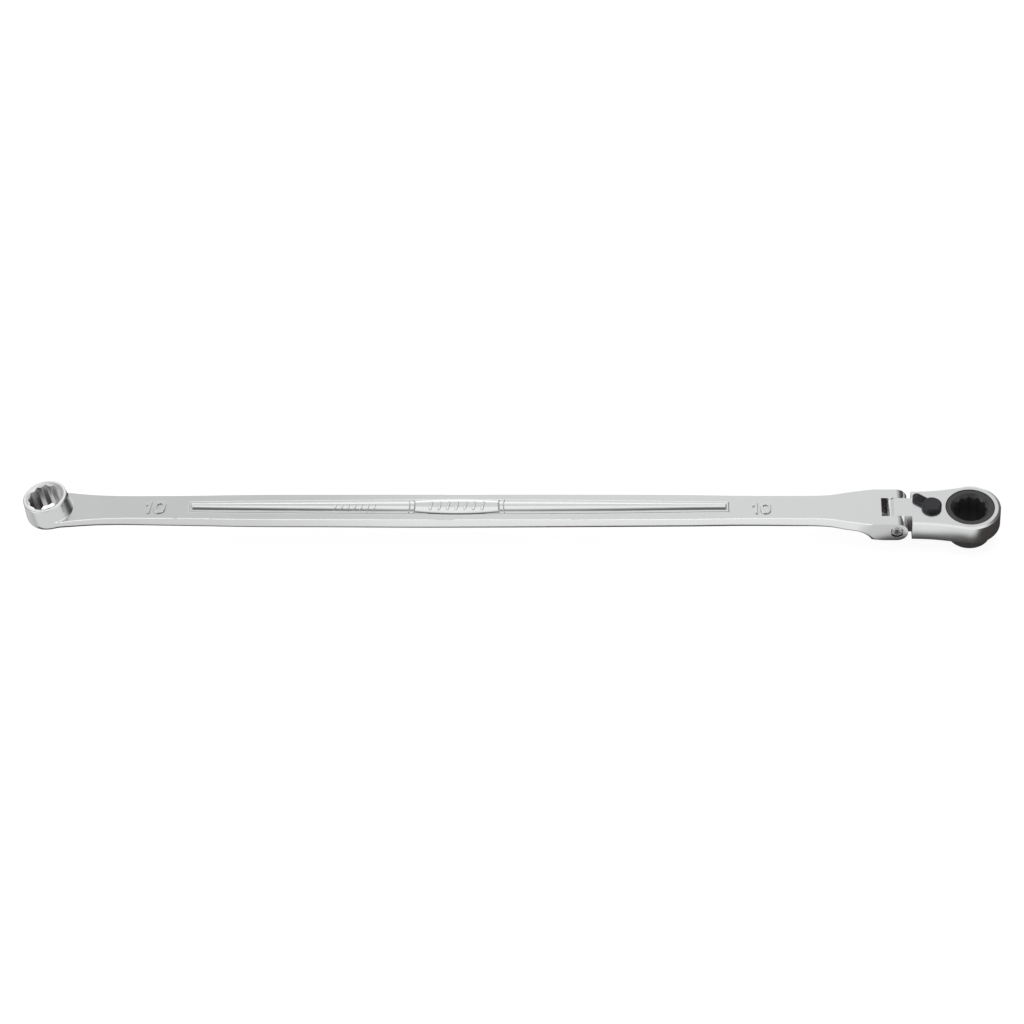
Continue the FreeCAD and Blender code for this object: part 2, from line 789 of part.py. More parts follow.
def trim_bar_plan(body):
    """Cut the block back to the bar's outline, seen from above."""
    plan = new_sketch(body, "bar_plan", "XY_Plane")
    wide = size("ear_half_width").number
    knuckle = -size("hinge_reach").number + size("half_thick").number * 2
    outside = wide * 2
    for side in (-1, 1):
        points = [FreeCAD.Vector(-reach, side * half_width, 0) for reach, half_width in BAR_PLAN]
        curve = Part.BSplineCurve()
        curve.interpolate(points)
        edge = plan.addGeometry(curve, False)
        first = plan.addGeometry(Part.LineSegment(points[-1], FreeCAD.Vector(knuckle, side * wide, 0)), False)
        corners = [
            FreeCAD.Vector(knuckle, side * wide, 0), FreeCAD.Vector(knuckle, side * outside, 0),
            FreeCAD.Vector(-size("bar_end_reach").number - 1, side * outside, 0),
            FreeCAD.Vector(-size("bar_end_reach").number - 1, points[0].y, 0), points[0],
        ]
        for start, end in zip(corners, corners[1:]):
            plan.addGeometry(Part.LineSegment(start, end), False)
        plan.addConstraint(Sketcher.Constraint("Coincident", edge, 2, first, 1))
    extrude(body, "Pocket", plan, size("ear_half_width") * 4)


def add_rib(body):
    thick = size("half_thick")
    rib = new_sketch(body, "rib_plan", "XY_Plane", sideways(z=thick.number))
    start = -size("rib_start_reach")
    end = -size("rib_end_reach")
    left = -size("panel_start_reach")
    right = -size("panel_end_reach")
    narrow = size("rib_end_half_width")
    wide = size("rib_mid_half_width")
    draw_outline(rib, [
        (start, -narrow), (left, -wide), (right, -wide), (end, -narrow),
        (end, narrow), (right, wide), (left, wide), (start, narrow),
    ])
    extrude(body, "Pad", rib, size("rib_rise"), symmetric=False)
    panel = new_sketch(body, "panel_plan", "XY_Plane", sideways(z=thick.number))
    half = size("panel_half_width")
    draw_rectangle(panel, left, right, -half, half)
    extrude(body, "Pad", panel, size("panel_rise"), symmetric=False)


def ring_placement(height):
    """A placement on the fixed ring's axis, height above its base, Z along the axis."""
    lean = math.radians(size("ring_lean_degrees").number)
    direction = (-math.sin(lean), 0, math.cos(lean))
    x = -size("ring_base_x").number + height * direction[0]
    z = size("ring_base_z").number + height * direction[2]
    return x, z, direction


def add_ring(body):
    x, z, direction = ring_placement(0.0)
    lean = size("ring_lean_degrees").number
    profile = new_sketch(body, "ring_profile", "XZ_Plane", sideways(x=x, y=z, turn_degrees=lean))
    base = size("ring_base_radius")
    rim = size("ring_rim_radius")
    high = size("ring_high")
    corner = size("ring_base_round")
    edge = size("ring_rim_round")
    draw_outline(profile, [
        (ZERO, ZERO), (base - corner, ZERO, corner, 1), (base, corner), (rim, high - edge),
        (rim - edge, high), (ZERO, high),
    ])
    revolve(body, "Revolution", profile, "V_Axis")
    gap = size("mesh_gap")
    low_x, low_z, _ = ring_placement(-size("bar_thick").number)
    cut_twelve_point(body, along(low_x, 0, low_z, direction), high + size("bar_thick") + gap)
    mouth = size("ring_mouth_radius")
    inner = size("socket_flats") / 2
    drop = (mouth - inner).number
    top_x, top_z, _ = ring_placement(high.number - drop)
    cut_mouth(body, "ring_mouth_top", along(top_x, 0, top_z, direction), mouth, inner)


def open_fork(body):
    slot = new_sketch(body, "fork_slot", "XY_Plane")
    half = size("slot_half_width")
    floor = -size("slot_floor_reach")
    draw_rectangle(slot, floor, ZERO, -half, half)
    extrude(body, "Pocket", slot, size("ear_half_width") * 2)
    hinge = -size("hinge_reach")
    gap = size("running_gap")
    ear = size("ear_half_width")
    holes = new_sketch(body, "pivot_bore", "XY_Plane", sideways(x=hinge.number))
    head_floor = -ear + size("screw_sink") + size("screw_head_depth") + gap
    seat = size("screw_head_radius") + gap * 2
    draw_outline(holes, [
        (ZERO, -ear), (seat, -ear), (seat, head_floor),
        (size("pivot_radius") + gap, head_floor), (size("pivot_radius") + gap, half),
        (size("thread_radius") + gap / 2, half), (size("thread_radius") + gap / 2, ear), (ZERO, ear),
    ])
    revolve(body, "Groove", holes, "V_Axis")
    bore = new_sketch(body, "plunger_blind_bore", "XZ_Plane")
    draw_rectangle(bore, floor - size("hinge_bore_depth"), floor + gap, ZERO, size("hinge_bore_radius"))
    revolve(body, "Groove", bore, "H_Axis")


MAKERS = [
    make_handle, make_head_housing, make_ratchet_gear, make_gear_retaining_ring, make_pawl,
    make_reversing_lever, make_lever_seal, make_lever_clip, make_pawl_plunger, make_pawl_spring,
    make_pivot_screw, make_hinge_plunger, make_hinge_spring,
]


def check(pieces):
    doc.recompute()
    for item in doc.Objects:
        if "Invalid" in item.State or "Error" in item.State:
            raise RuntimeError(f"{item.Label} failed: {item.State}")
    for piece in pieces:
        shape = piece.Shape
        if shape.isNull() or not shape.isValid() or len(shape.Solids) != 1:
            raise RuntimeError(f"{piece.Label} is not one valid solid")


def main():
    pieces = [make() for make in MAKERS]
    check(pieces)
    os.makedirs("parts", exist_ok=True)
    for piece in pieces:
        piece.Shape.exportStep(f"parts/{piece.Label}.step")
        box = piece.Shape.BoundBox
        print(f"{piece.Label}: {piece.Shape.Volume:.2f} mm3, x {box.XMin:.2f} to {box.XMax:.2f}")


main()
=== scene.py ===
import json
import math

import bpy
import numpy as np
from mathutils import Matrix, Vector

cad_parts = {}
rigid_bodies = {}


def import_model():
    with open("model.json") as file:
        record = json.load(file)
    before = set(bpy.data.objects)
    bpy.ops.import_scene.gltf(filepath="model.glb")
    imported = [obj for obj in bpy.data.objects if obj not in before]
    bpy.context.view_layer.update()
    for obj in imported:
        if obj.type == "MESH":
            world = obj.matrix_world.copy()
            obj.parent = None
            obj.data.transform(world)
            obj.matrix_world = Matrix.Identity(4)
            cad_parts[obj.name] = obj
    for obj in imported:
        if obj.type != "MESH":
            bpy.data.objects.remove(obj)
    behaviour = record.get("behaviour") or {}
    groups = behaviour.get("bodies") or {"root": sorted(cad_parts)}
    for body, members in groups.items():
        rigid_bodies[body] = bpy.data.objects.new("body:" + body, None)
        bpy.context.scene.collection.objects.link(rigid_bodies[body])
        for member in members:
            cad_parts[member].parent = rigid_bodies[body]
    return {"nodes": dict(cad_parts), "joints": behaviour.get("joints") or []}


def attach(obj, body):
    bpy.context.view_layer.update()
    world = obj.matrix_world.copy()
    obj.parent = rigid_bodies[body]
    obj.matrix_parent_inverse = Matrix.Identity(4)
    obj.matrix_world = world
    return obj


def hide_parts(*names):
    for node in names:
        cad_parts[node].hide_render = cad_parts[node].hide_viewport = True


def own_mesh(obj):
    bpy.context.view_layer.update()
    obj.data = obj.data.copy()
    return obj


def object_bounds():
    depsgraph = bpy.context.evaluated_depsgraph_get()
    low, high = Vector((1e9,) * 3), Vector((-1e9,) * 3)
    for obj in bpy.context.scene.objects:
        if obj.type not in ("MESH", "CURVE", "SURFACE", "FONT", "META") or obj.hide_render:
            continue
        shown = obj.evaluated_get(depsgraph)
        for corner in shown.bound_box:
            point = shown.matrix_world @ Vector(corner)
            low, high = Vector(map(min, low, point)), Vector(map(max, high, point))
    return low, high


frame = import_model()
cad_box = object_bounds()

# The handle is worked out in millimetres and stored in metres. The stage and the lights are in metres.
MM = 0.001

# Flex joint, from the frame's joint axis.
flex_joint = next(joint for joint in frame["joints"] if joint["name"] == "head_flex")
HINGE_X = flex_joint["pos_m"][0] / MM

# Fork. The near ear, on the side of -Y, takes the screw's head.
HALF_THICK = 3.7
SLOT_HALF = 4.22
SLOT_FLOOR_X = -29.6
EAR_HALF = 8.25
SCOOP_CORNER_X = -32.9
SCOOP_RADIUS = 6.2
NEAR_BORE_RADIUS = 1.65
FAR_BORE_RADIUS = 1.475
SCREW_SEAT_RADIUS = 2.3
SCREW_SEAT_Y = -6.35
PLUNGER_BORE_RADIUS = 1.05
PLUNGER_BORE_DEEP = 4.4

# Bar: points (x, value) along it. Its underside drops a little from the ring to the fork.
BAR_UNDER = [
    (-306.0, -0.25), (-286.0, -0.25), (-240.0, -0.4), (-180.0, -0.75),
    (-106.0, -0.9), (-56.0, -0.6), (-45.0, -0.35),
]
BAR_BULGE = 0.15
BAR_WIDEST_Z = 0.9
BEVEL_WIDE = 0.3
BEVEL_LEAN = math.radians(64.0)
BAR_SIDE_ROUND = 0.15
BAR_UNDER_ROUND = [
    (-308.0, 3.6), (-298.0, 2.6), (-285.0, 1.9), (-200.0, 1.5), (-50.0, 1.3), (-40.0, 0.7),
]
BAR_PLAN = [
    (-312.0, 8.3), (-306.0, 7.9), (-300.0, 6.9), (-293.0, 6.0), (-283.0, 5.45), (-272.0, 5.45),
    (-260.0, 5.55), (-240.0, 5.95), (-215.0, 6.05), (-165.0, 6.1), (-115.0, 6.05), (-92.0, 5.9),
    (-78.0, 5.6), (-60.0, 5.55), (-52.0, 5.6), (-46.5, 5.95), (-41.0, 7.05), (-37.0, 7.8),
    (-33.0, 8.45), (-28.0, 9.2), (-18.0, 9.6),
]

# Rib and panel on the bar's top.
RIB_START_X = -259.4
RIB_END_X = -81.2
RIB_PLAN = [
    (-262.0, 1.6), (-250.0, 1.8), (-215.0, 2.25), (-187.0, 2.6), (-155.0, 2.6), (-120.0, 2.25), (-79.0, 1.6),
]
RIB_RISE = 1.0
RIB_STEP_WIDE = 0.6
RIB_STEP_RISE = 0.14
RIB_STEP_ROUND = 0.15
RIB_END_ROUND = 0.5
PANEL_START_X = -185.3
PANEL_END_X = -156.8
PANEL_HALF = 2.75
PANEL_BELLY = 0.75
PANEL_FLANK = 0.5
PANEL_RISE = 1.1
PANEL_EDGE_ROUND = 0.3
COLLAR_WIDE = 1.7
COLLAR_BOW = 0.4
COLLAR_LINE = 0.2
COLLAR_DEEP = 0.45
COLLAR_FLARE = 0.35
RELIEF_ROOT_Z = 2.0

# Rows of slanted grip bars: first, last, how many, middle across, half their length, half their width.
GRIP_ROWS = [(-179.6, -162.4, 7, -0.35, 1.75, 0.45), (-211.5, -198.5, 7, -1.1, 1.25, 0.32)]
GRIP_SLANT = 0.2
GRIP_RISE = 0.36
GRIP_CORNER_ROUND = 0.25
GRIP_EDGE_ROUND = 0.1

# Fixed ring.
RING_LEAN = math.radians(12.0)
RING_BASE_X = -306.2
RING_BASE_Z = -0.3
RING_HIGH = 9.1
RING_BASE_RADIUS = 8.15
RING_RIM_RADIUS = 7.42
RING_BASE_ROUND = 3.0
RING_RIM_ROUND = 0.3
SOCKET_FLATS = 10.15
RING_MOUTH_RADIUS = 6.4
RING_MOUTH_SLOPE = 0.5

# Fillets and edges where the handle's shapes meet.
RELIEF_FILLET = 0.45
GRIP_FILLET = 0.08
MARK_FILLET = 0.06
RING_FILLET = 0.35
HOLE_EDGE_ROUND = 0.12
MOUTH_EDGE_ROUND = 0.08

# Size marks: middle along the bar, middle across it, size and slant. Digits are drawn MARK_HIGH high.
MARK_HIGH = 5.0
MARK_RISE = 0.46
MARK_STROKE = 0.5
MARK_EDGE_ROUND = 0.2
MARKS = [(-271.3, -0.3, 1.1, 0.18), (-69.4, -0.75, 1.0, 0.0)]
ONE_PLACE = -2.1
ONE_STEM = 0.25
ONE_FLAG_LONG = 1.0
ONE_FLAG_DROP = 0.75
ONE_FLAG_SHARE = 0.85
ZERO_PLACE = 1.25
ZERO_HALF_WIDE = 1.32

# A flat distance larger than any on the handle.
FAR_AWAY = 9.0

# Grid: its steps, then runs (start, end, step as a share of the fine step) across and up.
FINE_STEP = 0.17
LONG_STEP = 0.7
GRID_START_X = -317.0
RING_DETAIL_END_X = -296.0
FORK_DETAIL_START_X = -50.0
GRID_END_X = -20.0
MARK_REACH = 4.5
PANEL_REACH = 4.0
GRIP_REACH = 2.0
RIB_END_OUTSIDE = 1.5
RIB_END_INSIDE = 2.0
GRID_ACROSS = [(-9.0, -4.4, 1.2), (-4.4, 4.4, 0.8), (4.4, 9.0, 1.2)]
GRID_UP = [(-4.2, 3.0, 1.2), (3.0, 5.2, 0.6), (5.2, 8.0, 1.2), (8.0, 11.6, 0.7)]

# For each cell of the grid: its crossings' number, sum of places, sum of spreads and sum of pulls.
CELL_SUMS = 1 + 3 + 6 + 3
UPPER_HALF = [0, 1, 2, 4, 5, 8]
NO_LENGTH = 1e-9


def smooth_curve(x, points):
    """A smooth line through points (x, value), flat beyond its ends."""
    knots = np.array([point[0] for point in points])
    values = np.array([point[1] for point in points])
    slopes = np.gradient(values, knots)
    slopes[0] = slopes[-1] = 0.0
    x = np.clip(x, knots[0], knots[-1])
    cell = np.clip(np.searchsorted(knots, x, side="right") - 1, 0, len(knots) - 2)
    width = knots[cell + 1] - knots[cell]
    t = (x - knots[cell]) / width
    return (
        (2 * t**3 - 3 * t**2 + 1) * values[cell] + (t**3 - 2 * t**2 + t) * width * slopes[cell]
        + (3 * t**2 - 2 * t**3) * values[cell + 1] + (t**3 - t**2) * width * slopes[cell + 1]
    )


def join(a, b, blend):
    """Both bodies together, with a fillet where they meet."""
    reach = np.maximum(blend - np.abs(a - b), 0.0) / blend
    return np.minimum(a, b) - reach * reach * blend / 4


def common(a, b, blend):
    """Where both bodies overlap, with a rounded edge."""
    return -join(-a, -b, blend)


def hexagon(u, v, turn):
    """Distance outside a hexagon's flats."""
    angles = [turn + side * math.pi / 3 for side in range(3)]
    flats = [np.abs(u * math.cos(angle) + v * math.sin(angle)) for angle in angles]
    return np.maximum(np.maximum(flats[0], flats[1]), flats[2]) - SOCKET_FLATS / 2


def twelve_point(u, v):
    """Distance outside a twelve-point hole, which is two hexagons together."""
    return np.minimum(hexagon(u, v, 0.0), hexagon(u, v, math.pi / 6))


def contour(name, field, xs, ys, zs):
    """The surface field = 0 as a mesh of quads that keeps sharp edges (dual contouring)."""
    axes = [np.asarray(values, float) for values in (xs, ys, zs)]
    counts = [len(values) for values in axes]
    values = np.empty(counts, np.float32)
    for start in range(0, counts[0], 32):
        part = axes[0][start:start + 32]
        along = part[:, None, None]
        values[start:start + 32] = field(along, axes[1][None, :, None], axes[2][None, None, :])
    inside = values < 0
    cells = np.zeros([count - 1 for count in counts], np.int8)
    for i in (0, 1):
        for j in (0, 1):
            for k in (0, 1):
                cells += inside[i:counts[0] - 1 + i, j:counts[1] - 1 + j, k:counts[2] - 1 + k]
    active = (cells > 0) & (cells < 8)
    ids = np.full(active.shape, -1, np.int64)
    ids[active] = np.arange(active.sum())
    total = int(active.sum())
    sums = np.zeros((total, CELL_SUMS))
    quads = []
    for axis in range(3):
        crossings, normals, around, outward = edge_crossings(field, axes, values, inside, ids, axis)
        spread = normals[:, :, None] * normals[:, None, :]
        pull = normals * np.sum(normals * crossings, axis=1)[:, None]
        ones = np.ones((len(crossings), 1))
        packed = np.concatenate([ones, crossings, spread.reshape(-1, 9)[:, UPPER_HALF], pull], axis=1)
        for corner in around.T:
            for column in range(CELL_SUMS):
                sums[:, column] += np.bincount(corner, weights=packed[:, column], minlength=total)
        quads.append(np.where(outward[:, None], around, around[:, ::-1]))
    points = solve_corners(sums)
    return build_mesh(name, points, np.concatenate(quads))


def edge_crossings(field, axes, values, inside, ids, axis):
    """Where the surface cuts the grid's edges along one axis, and the four cells round each."""
    other = [(axis + 1) % 3, (axis + 2) % 3]
    low = [slice(None)] * 3
    high = [slice(None)] * 3
    low[axis] = slice(0, -1)
    high[axis] = slice(1, None)
    changes = np.argwhere(inside[tuple(low)] != inside[tuple(high)])
    ends = changes.copy()
    ends[:, axis] += 1
    first = values[tuple(changes.T)].astype(float)
    last = values[tuple(ends.T)].astype(float)
    start = np.stack([axes[k][changes[:, k]] for k in range(3)], axis=1)
    step = axes[axis][ends[:, axis]] - axes[axis][changes[:, axis]]
    low_t = np.zeros(len(start))
    high_t = np.ones(len(start))
    low_value = first.copy()
    high_value = last.copy()
    point = start.copy()
    for _ in range(3):
        t = low_t + (high_t - low_t) * low_value / (low_value - high_value)
        point[:, axis] = start[:, axis] + step * t
        found = field(*point.T)
        same = (found < 0) == (first < 0)
        low_t = np.where(same, t, low_t)
        low_value = np.where(same, found, low_value)
        high_t = np.where(same, high_t, t)
        high_value = np.where(same, high_value, found)
    normals = np.stack([slope(field, point, k) for k in range(3)], axis=1)
    normals /= np.maximum(np.linalg.norm(normals, axis=1), NO_LENGTH)[:, None]
    around = []
    for shift in ((-1, -1), (0, -1), (0, 0), (-1, 0)):
        cell = changes.copy()
        cell[:, other[0]] += shift[0]
        cell[:, other[1]] += shift[1]
        around.append(ids[tuple(cell.T)])
    return point, normals, np.stack(around, axis=1), first < 0


def slope(field, point, axis, reach=0.004):
    """How fast the field grows along one axis at each point."""
    ahead = point.copy()
    behind = point.copy()
    ahead[:, axis] += reach
    behind[:, axis] -= reach
    return (field(*ahead.T) - field(*behind.T)) / (2 * reach)


def solve_corners(sums, stay=0.03, limit=0.6):
    """For each cell, the point nearest to all the tangent planes that cross it."""
    count = sums[:, :1]
    middle = sums[:, 1:4] / count
    spread = sums[:, 4:10] / count
    matrix = np.empty((len(sums), 3, 3))
    for column, (row, line) in enumerate(((0, 0), (0, 1), (0, 2), (1, 1), (1, 2), (2, 2))):
        matrix[:, row, line] = matrix[:, line, row] = spread[:, column]
    pull = sums[:, 10:13] / count - np.einsum("nij,nj->ni", matrix, middle)
    matrix += np.eye(3) * stay
    move = np.linalg.solve(matrix, pull[:, :, None])[:, :, 0]
    length = np.linalg.norm(move, axis=1)[:, None]
    return middle + move * np.minimum(1.0, limit / np.maximum(length, NO_LENGTH))


def build_mesh(name, points, quads, sharp_degrees=38.0):
    """A smooth-shaded object from points in millimetres, with edges sharp above the given angle."""
    mesh = bpy.data.meshes.new(name)
    mesh.vertices.add(len(points))
    mesh.vertices.foreach_set("co", (points * MM).ravel())
    mesh.loops.add(quads.size)
    mesh.loops.foreach_set("vertex_index", quads.ravel().astype(np.int32))
    mesh.polygons.add(len(quads))
    mesh.polygons.foreach_set("loop_start", np.arange(0, quads.size, 4, dtype=np.int32))
    mesh.update(calc_edges=True)
    mesh.validate()
    mesh.shade_smooth()
    mesh.set_sharp_from_angle(angle=math.radians(sharp_degrees))
    piece = bpy.data.objects.new(name, mesh)
    bpy.context.scene.collection.objects.link(piece)
    return piece


def stretches(*runs):
    """Grid lines made of runs (start, end, step)."""
    lines = [np.array([runs[0][0]])]
    for start, end, step in runs:
        count = max(1, round((end - start) / step))
        lines.append(np.linspace(start, end, count + 1)[1:])
    return np.concatenate(lines)


# ---- handle -----------------------------------------------------------------


def slab_field(x, z):
    """The fork's thickness, with its round end about the hinge axis."""
    return np.hypot(np.maximum(x - HINGE_X, 0.0), z) - HALF_THICK


def under_field(x, z):
    """The bar's underside, and the scoop that steps down to the fork."""
    under = BAR_UNDER[-1][1]
    drop = under + HALF_THICK
    start = SCOOP_CORNER_X - math.sqrt(2 * SCOOP_RADIUS * drop - drop * drop)
    hollow = SCOOP_RADIUS - np.hypot(x - start, z - (under - SCOOP_RADIUS))
    block = np.maximum(np.maximum(start - x, hollow), -HALF_THICK - z)
    return np.minimum(smooth_curve(x, BAR_UNDER) - z, block)


def bar_field(x, y, z):
    """The bar: bulged sides, a narrow steep bevel along each top edge and a rounded underside."""
    wide = smooth_curve(x, BAR_PLAN)
    height = (z - BAR_WIDEST_Z) / (HALF_THICK - BAR_WIDEST_Z)
    side = np.abs(y) - (wide - BAR_BULGE * height * height)
    under = common(under_field(x, z), side, smooth_curve(x, BAR_UNDER_ROUND))
    inward = np.abs(y) - wide + BEVEL_WIDE
    bevel = inward * math.sin(BEVEL_LEAN) + (z - HALF_THICK) * math.cos(BEVEL_LEAN)
    top = np.maximum(slab_field(x, z), bevel)
    return common(np.maximum(top, under), side, BAR_SIDE_ROUND)


def domed(y, z, half, rise):
    """A rounded top of the given half-width that rises from the bar's top."""
    radius = (half * half + rise * rise) / (2 * rise)
    return np.hypot(y, z - (HALF_THICK + rise - radius)) - radius


def rib_field(x, y, z):
    """A long half-round rib on a low step. It widens towards the panel and has blunt ends."""
    half = smooth_curve(x, RIB_PLAN)
    ends = np.maximum(RIB_START_X - x, x - RIB_END_X)
    step = common(np.abs(y) - half - RIB_STEP_WIDE, z - HALF_THICK - RIB_STEP_RISE, RIB_STEP_ROUND)
    step = np.maximum(step, ends - RIB_STEP_WIDE)
    return np.minimum(common(domed(y, z, half, RIB_RISE), ends, RIB_END_ROUND), step)


def panel_field(x, y, z):
    """The raised panel: wider than the rib, with bellied sides."""
    middle = (PANEL_START_X + PANEL_END_X) / 2
    share = (x - middle) / ((PANEL_END_X - PANEL_START_X) / 2)
    half = PANEL_HALF + PANEL_BELLY * np.maximum(1 - share * share, 0.0)
    top = domed(y, z, half + PANEL_FLANK, PANEL_RISE)
    body = common(np.abs(y) - half, top, PANEL_EDGE_ROUND)
    return common(body, np.abs(x - middle) + middle - PANEL_END_X, PANEL_EDGE_ROUND)


def collar_field(x, y, relief):
    """The two fine grooves on each side of the collar at each end of the panel."""
    middle = (PANEL_START_X + PANEL_END_X) / 2
    reach = (PANEL_END_X - PANEL_START_X) / 2
    bow = COLLAR_BOW * (1 - (y / PANEL_HALF) ** 2)
    beside = np.abs(np.abs(x - middle) - reach - COLLAR_WIDE / 2 + bow) - COLLAR_WIDE / 2
    return np.maximum(np.abs(beside) - COLLAR_LINE - COLLAR_FLARE * relief, -COLLAR_DEEP - relief)


def grip_field(x, y):
    """Flat distance to the rows of slanted bars."""
    flat = np.full(np.broadcast(x, y).shape, FAR_AWAY)
    for first, last, count, across, long_half, wide_half in GRIP_ROWS:
        pitch = (last - first) / (count - 1)
        along = x - GRIP_SLANT * (y - across)
        bar = np.clip(np.round((along - first) / pitch), 0, count - 1)
        side = np.abs(along - first - bar * pitch) - wide_half
        flat = np.minimum(flat, common(side, np.abs(y - across) - long_half, GRIP_CORNER_ROUND))
    return flat


def one_field(u, v):
    """Flat distance to the strokes of a 1: its stem, and the flag that falls to the left of its top."""
    top = MARK_HIGH / 2 - MARK_STROKE
    stem = np.hypot(u - ONE_STEM, v - np.clip(v, -top, top)) - MARK_STROKE
    from_u = u - ONE_STEM + ONE_FLAG_LONG
    from_v = v - top + ONE_FLAG_DROP
    squared = ONE_FLAG_LONG * ONE_FLAG_LONG + ONE_FLAG_DROP * ONE_FLAG_DROP
    share = np.clip((from_u * ONE_FLAG_LONG + from_v * ONE_FLAG_DROP) / squared, 0.0, 1.0)
    flag = np.hypot(from_u - ONE_FLAG_LONG * share, from_v - ONE_FLAG_DROP * share)
    return np.minimum(stem, flag - MARK_STROKE * ONE_FLAG_SHARE)


def zero_field(u, v):
    """Flat distance to the stroke of a 0."""
    straight = MARK_HIGH / 2 - MARK_STROKE - ZERO_HALF_WIDE
    return np.abs(np.hypot(u, v - np.clip(v, -straight, straight)) - ZERO_HALF_WIDE) - MARK_STROKE


def mark_field(x, y):
    """Flat distance to the size mark 10, which is near each end of the bar."""
    flat = np.full(np.broadcast(x, y).shape, FAR_AWAY)
    for place, across, size, slant in MARKS:
        v = (y - across) / size
        u = (x - place) / size - slant * v
        flat = np.minimum(flat, size * one_field(u - ONE_PLACE, v))
        flat = np.minimum(flat, size * zero_field(u - ZERO_PLACE, v))
    return flat


def ring_local(x, z):
    """Along the ring's cross direction and up its axis."""
    u = (x - RING_BASE_X) * math.cos(RING_LEAN) + (z - RING_BASE_Z) * math.sin(RING_LEAN)
    high = -(x - RING_BASE_X) * math.sin(RING_LEAN) + (z - RING_BASE_Z) * math.cos(RING_LEAN)
    return u, high


def ring_field(x, y, z):
    """The fixed ring's body: tapered, well rounded at its base and slightly at its rim."""
    u, high = ring_local(x, z)
    radius = np.hypot(u, y)
    taper = (RING_BASE_RADIUS - RING_RIM_RADIUS) / RING_HIGH
    wall = radius - (RING_BASE_RADIUS - taper * high)
    body = common(wall, -high, RING_BASE_ROUND)
    return common(body, high - RING_HIGH, RING_RIM_ROUND)


def ring_hole_field(x, y, z):
    """The ring's twelve-point hole and the sloped mouth at its rim."""
    u, high = ring_local(x, z)
    drop = RING_HIGH - high + (np.hypot(u, y) - RING_MOUTH_RADIUS) * RING_MOUTH_SLOPE
    mouth = drop / math.hypot(1.0, RING_MOUTH_SLOPE)
    return join(twelve_point(u, y), mouth, MOUTH_EDGE_ROUND)


def fork_cuts_field(x, y, z):
    """The slot, the pivot bore in both ears and the plunger's blind bore."""
    slot = np.maximum(np.abs(y) - SLOT_HALF, SLOT_FLOOR_X - x)
    from_hinge = np.hypot(x - HINGE_X, z)
    bore = np.where(y > 0, from_hinge - FAR_BORE_RADIUS, from_hinge - NEAR_BORE_RADIUS)
    head_seat = np.maximum(from_hinge - SCREW_SEAT_RADIUS, y - SCREW_SEAT_Y)
    beyond = np.maximum(SLOT_FLOOR_X - PLUNGER_BORE_DEEP - x, x - HINGE_X)
    plunger = np.maximum(np.hypot(y, z) - PLUNGER_BORE_RADIUS, beyond)
    return np.minimum(np.minimum(slot, bore), np.minimum(head_seat, plunger))


def handle_field(x, y, z):
    """The whole handle: bar, relief, marks and ring joined, then the fork and the hole cut."""
    body = bar_field(x, y, z)
    relief = np.minimum(rib_field(x, y, z), panel_field(x, y, z))
    relief = np.maximum(relief, -collar_field(x, y, relief))
    grips = common(grip_field(x, y), relief - GRIP_RISE, GRIP_EDGE_ROUND)
    relief = join(relief, grips, GRIP_FILLET)
    marks = common(mark_field(x, y), z - HALF_THICK - MARK_RISE, MARK_EDGE_ROUND)
    root = RELIEF_ROOT_Z - z
    body = join(body, np.maximum(relief, root), RELIEF_FILLET)
    body = join(body, np.maximum(marks, root), MARK_FILLET)
    body = np.maximum(body, np.abs(y) - EAR_HALF)
    body = np.maximum(body, RING_BASE_X - x)
    body = join(body, ring_field(x, y, z), RING_FILLET)
    body = np.maximum(body, -fork_cuts_field(x, y, z))
    return common(body, -ring_hole_field(x, y, z), HOLE_EDGE_ROUND)


def make_handle():
    """One forging. The grid is fine where there is detail and long along the plain bar."""
    fine = FINE_STEP
    long = LONG_STEP
    left, right = (mark[0] for mark in MARKS)
    row_start, row_end = GRIP_ROWS[1][:2]
    detail = [
        (left - MARK_REACH, left + MARK_REACH),
        (RIB_START_X - RIB_END_OUTSIDE, RIB_START_X + RIB_END_INSIDE),
        (row_start - GRIP_REACH, row_end + GRIP_REACH),
        (PANEL_START_X - PANEL_REACH, PANEL_END_X + PANEL_REACH),
        (RIB_END_X - RIB_END_INSIDE, RIB_END_X + RIB_END_OUTSIDE),
        (right - MARK_REACH, right + MARK_REACH),
        (FORK_DETAIL_START_X, GRID_END_X),
    ]
    runs = [(GRID_START_X, RING_DETAIL_END_X, fine), (RING_DETAIL_END_X, detail[0][0], 2 * fine)]
    for here, following in zip(detail, detail[1:]):
        runs += [(*here, fine), (here[1], following[0], long)]
    xs = stretches(*runs, (*detail[-1], fine))
    ys = stretches(*((low, high, share * fine) for low, high, share in GRID_ACROSS))
    zs = stretches(*((low, high, share * fine) for low, high, share in GRID_UP))
    piece = contour("handle_forging", handle_field, xs, ys, zs)
    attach(piece, "handle")
    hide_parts("handle")
    return piece


# ---- springs ----------------------------------------------------------------


def make_springs():
    """The two coil springs, each a copy of its CAD node fixed to its joint's parent body in place of the
    node.
    """
    for joint in frame["joints"]:
        for deforming in joint.get("deforming_nodes", []):
            node = deforming["node"]
            spring = bpy.data.objects.new(node + "_coil", frame["nodes"][node].data.copy())
            bpy.context.scene.collection.objects.link(spring)
            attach(spring, joint["parent"])
            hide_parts(node)
            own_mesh(spring)


# ---- materials --------------------------------------------------------------


def principled(name):
    """A new material, its node tree and its shader."""
    material = bpy.data.materials.new(name)
    material.use_nodes = True
    return material, material.node_tree, material.node_tree.nodes["Principled BSDF"]


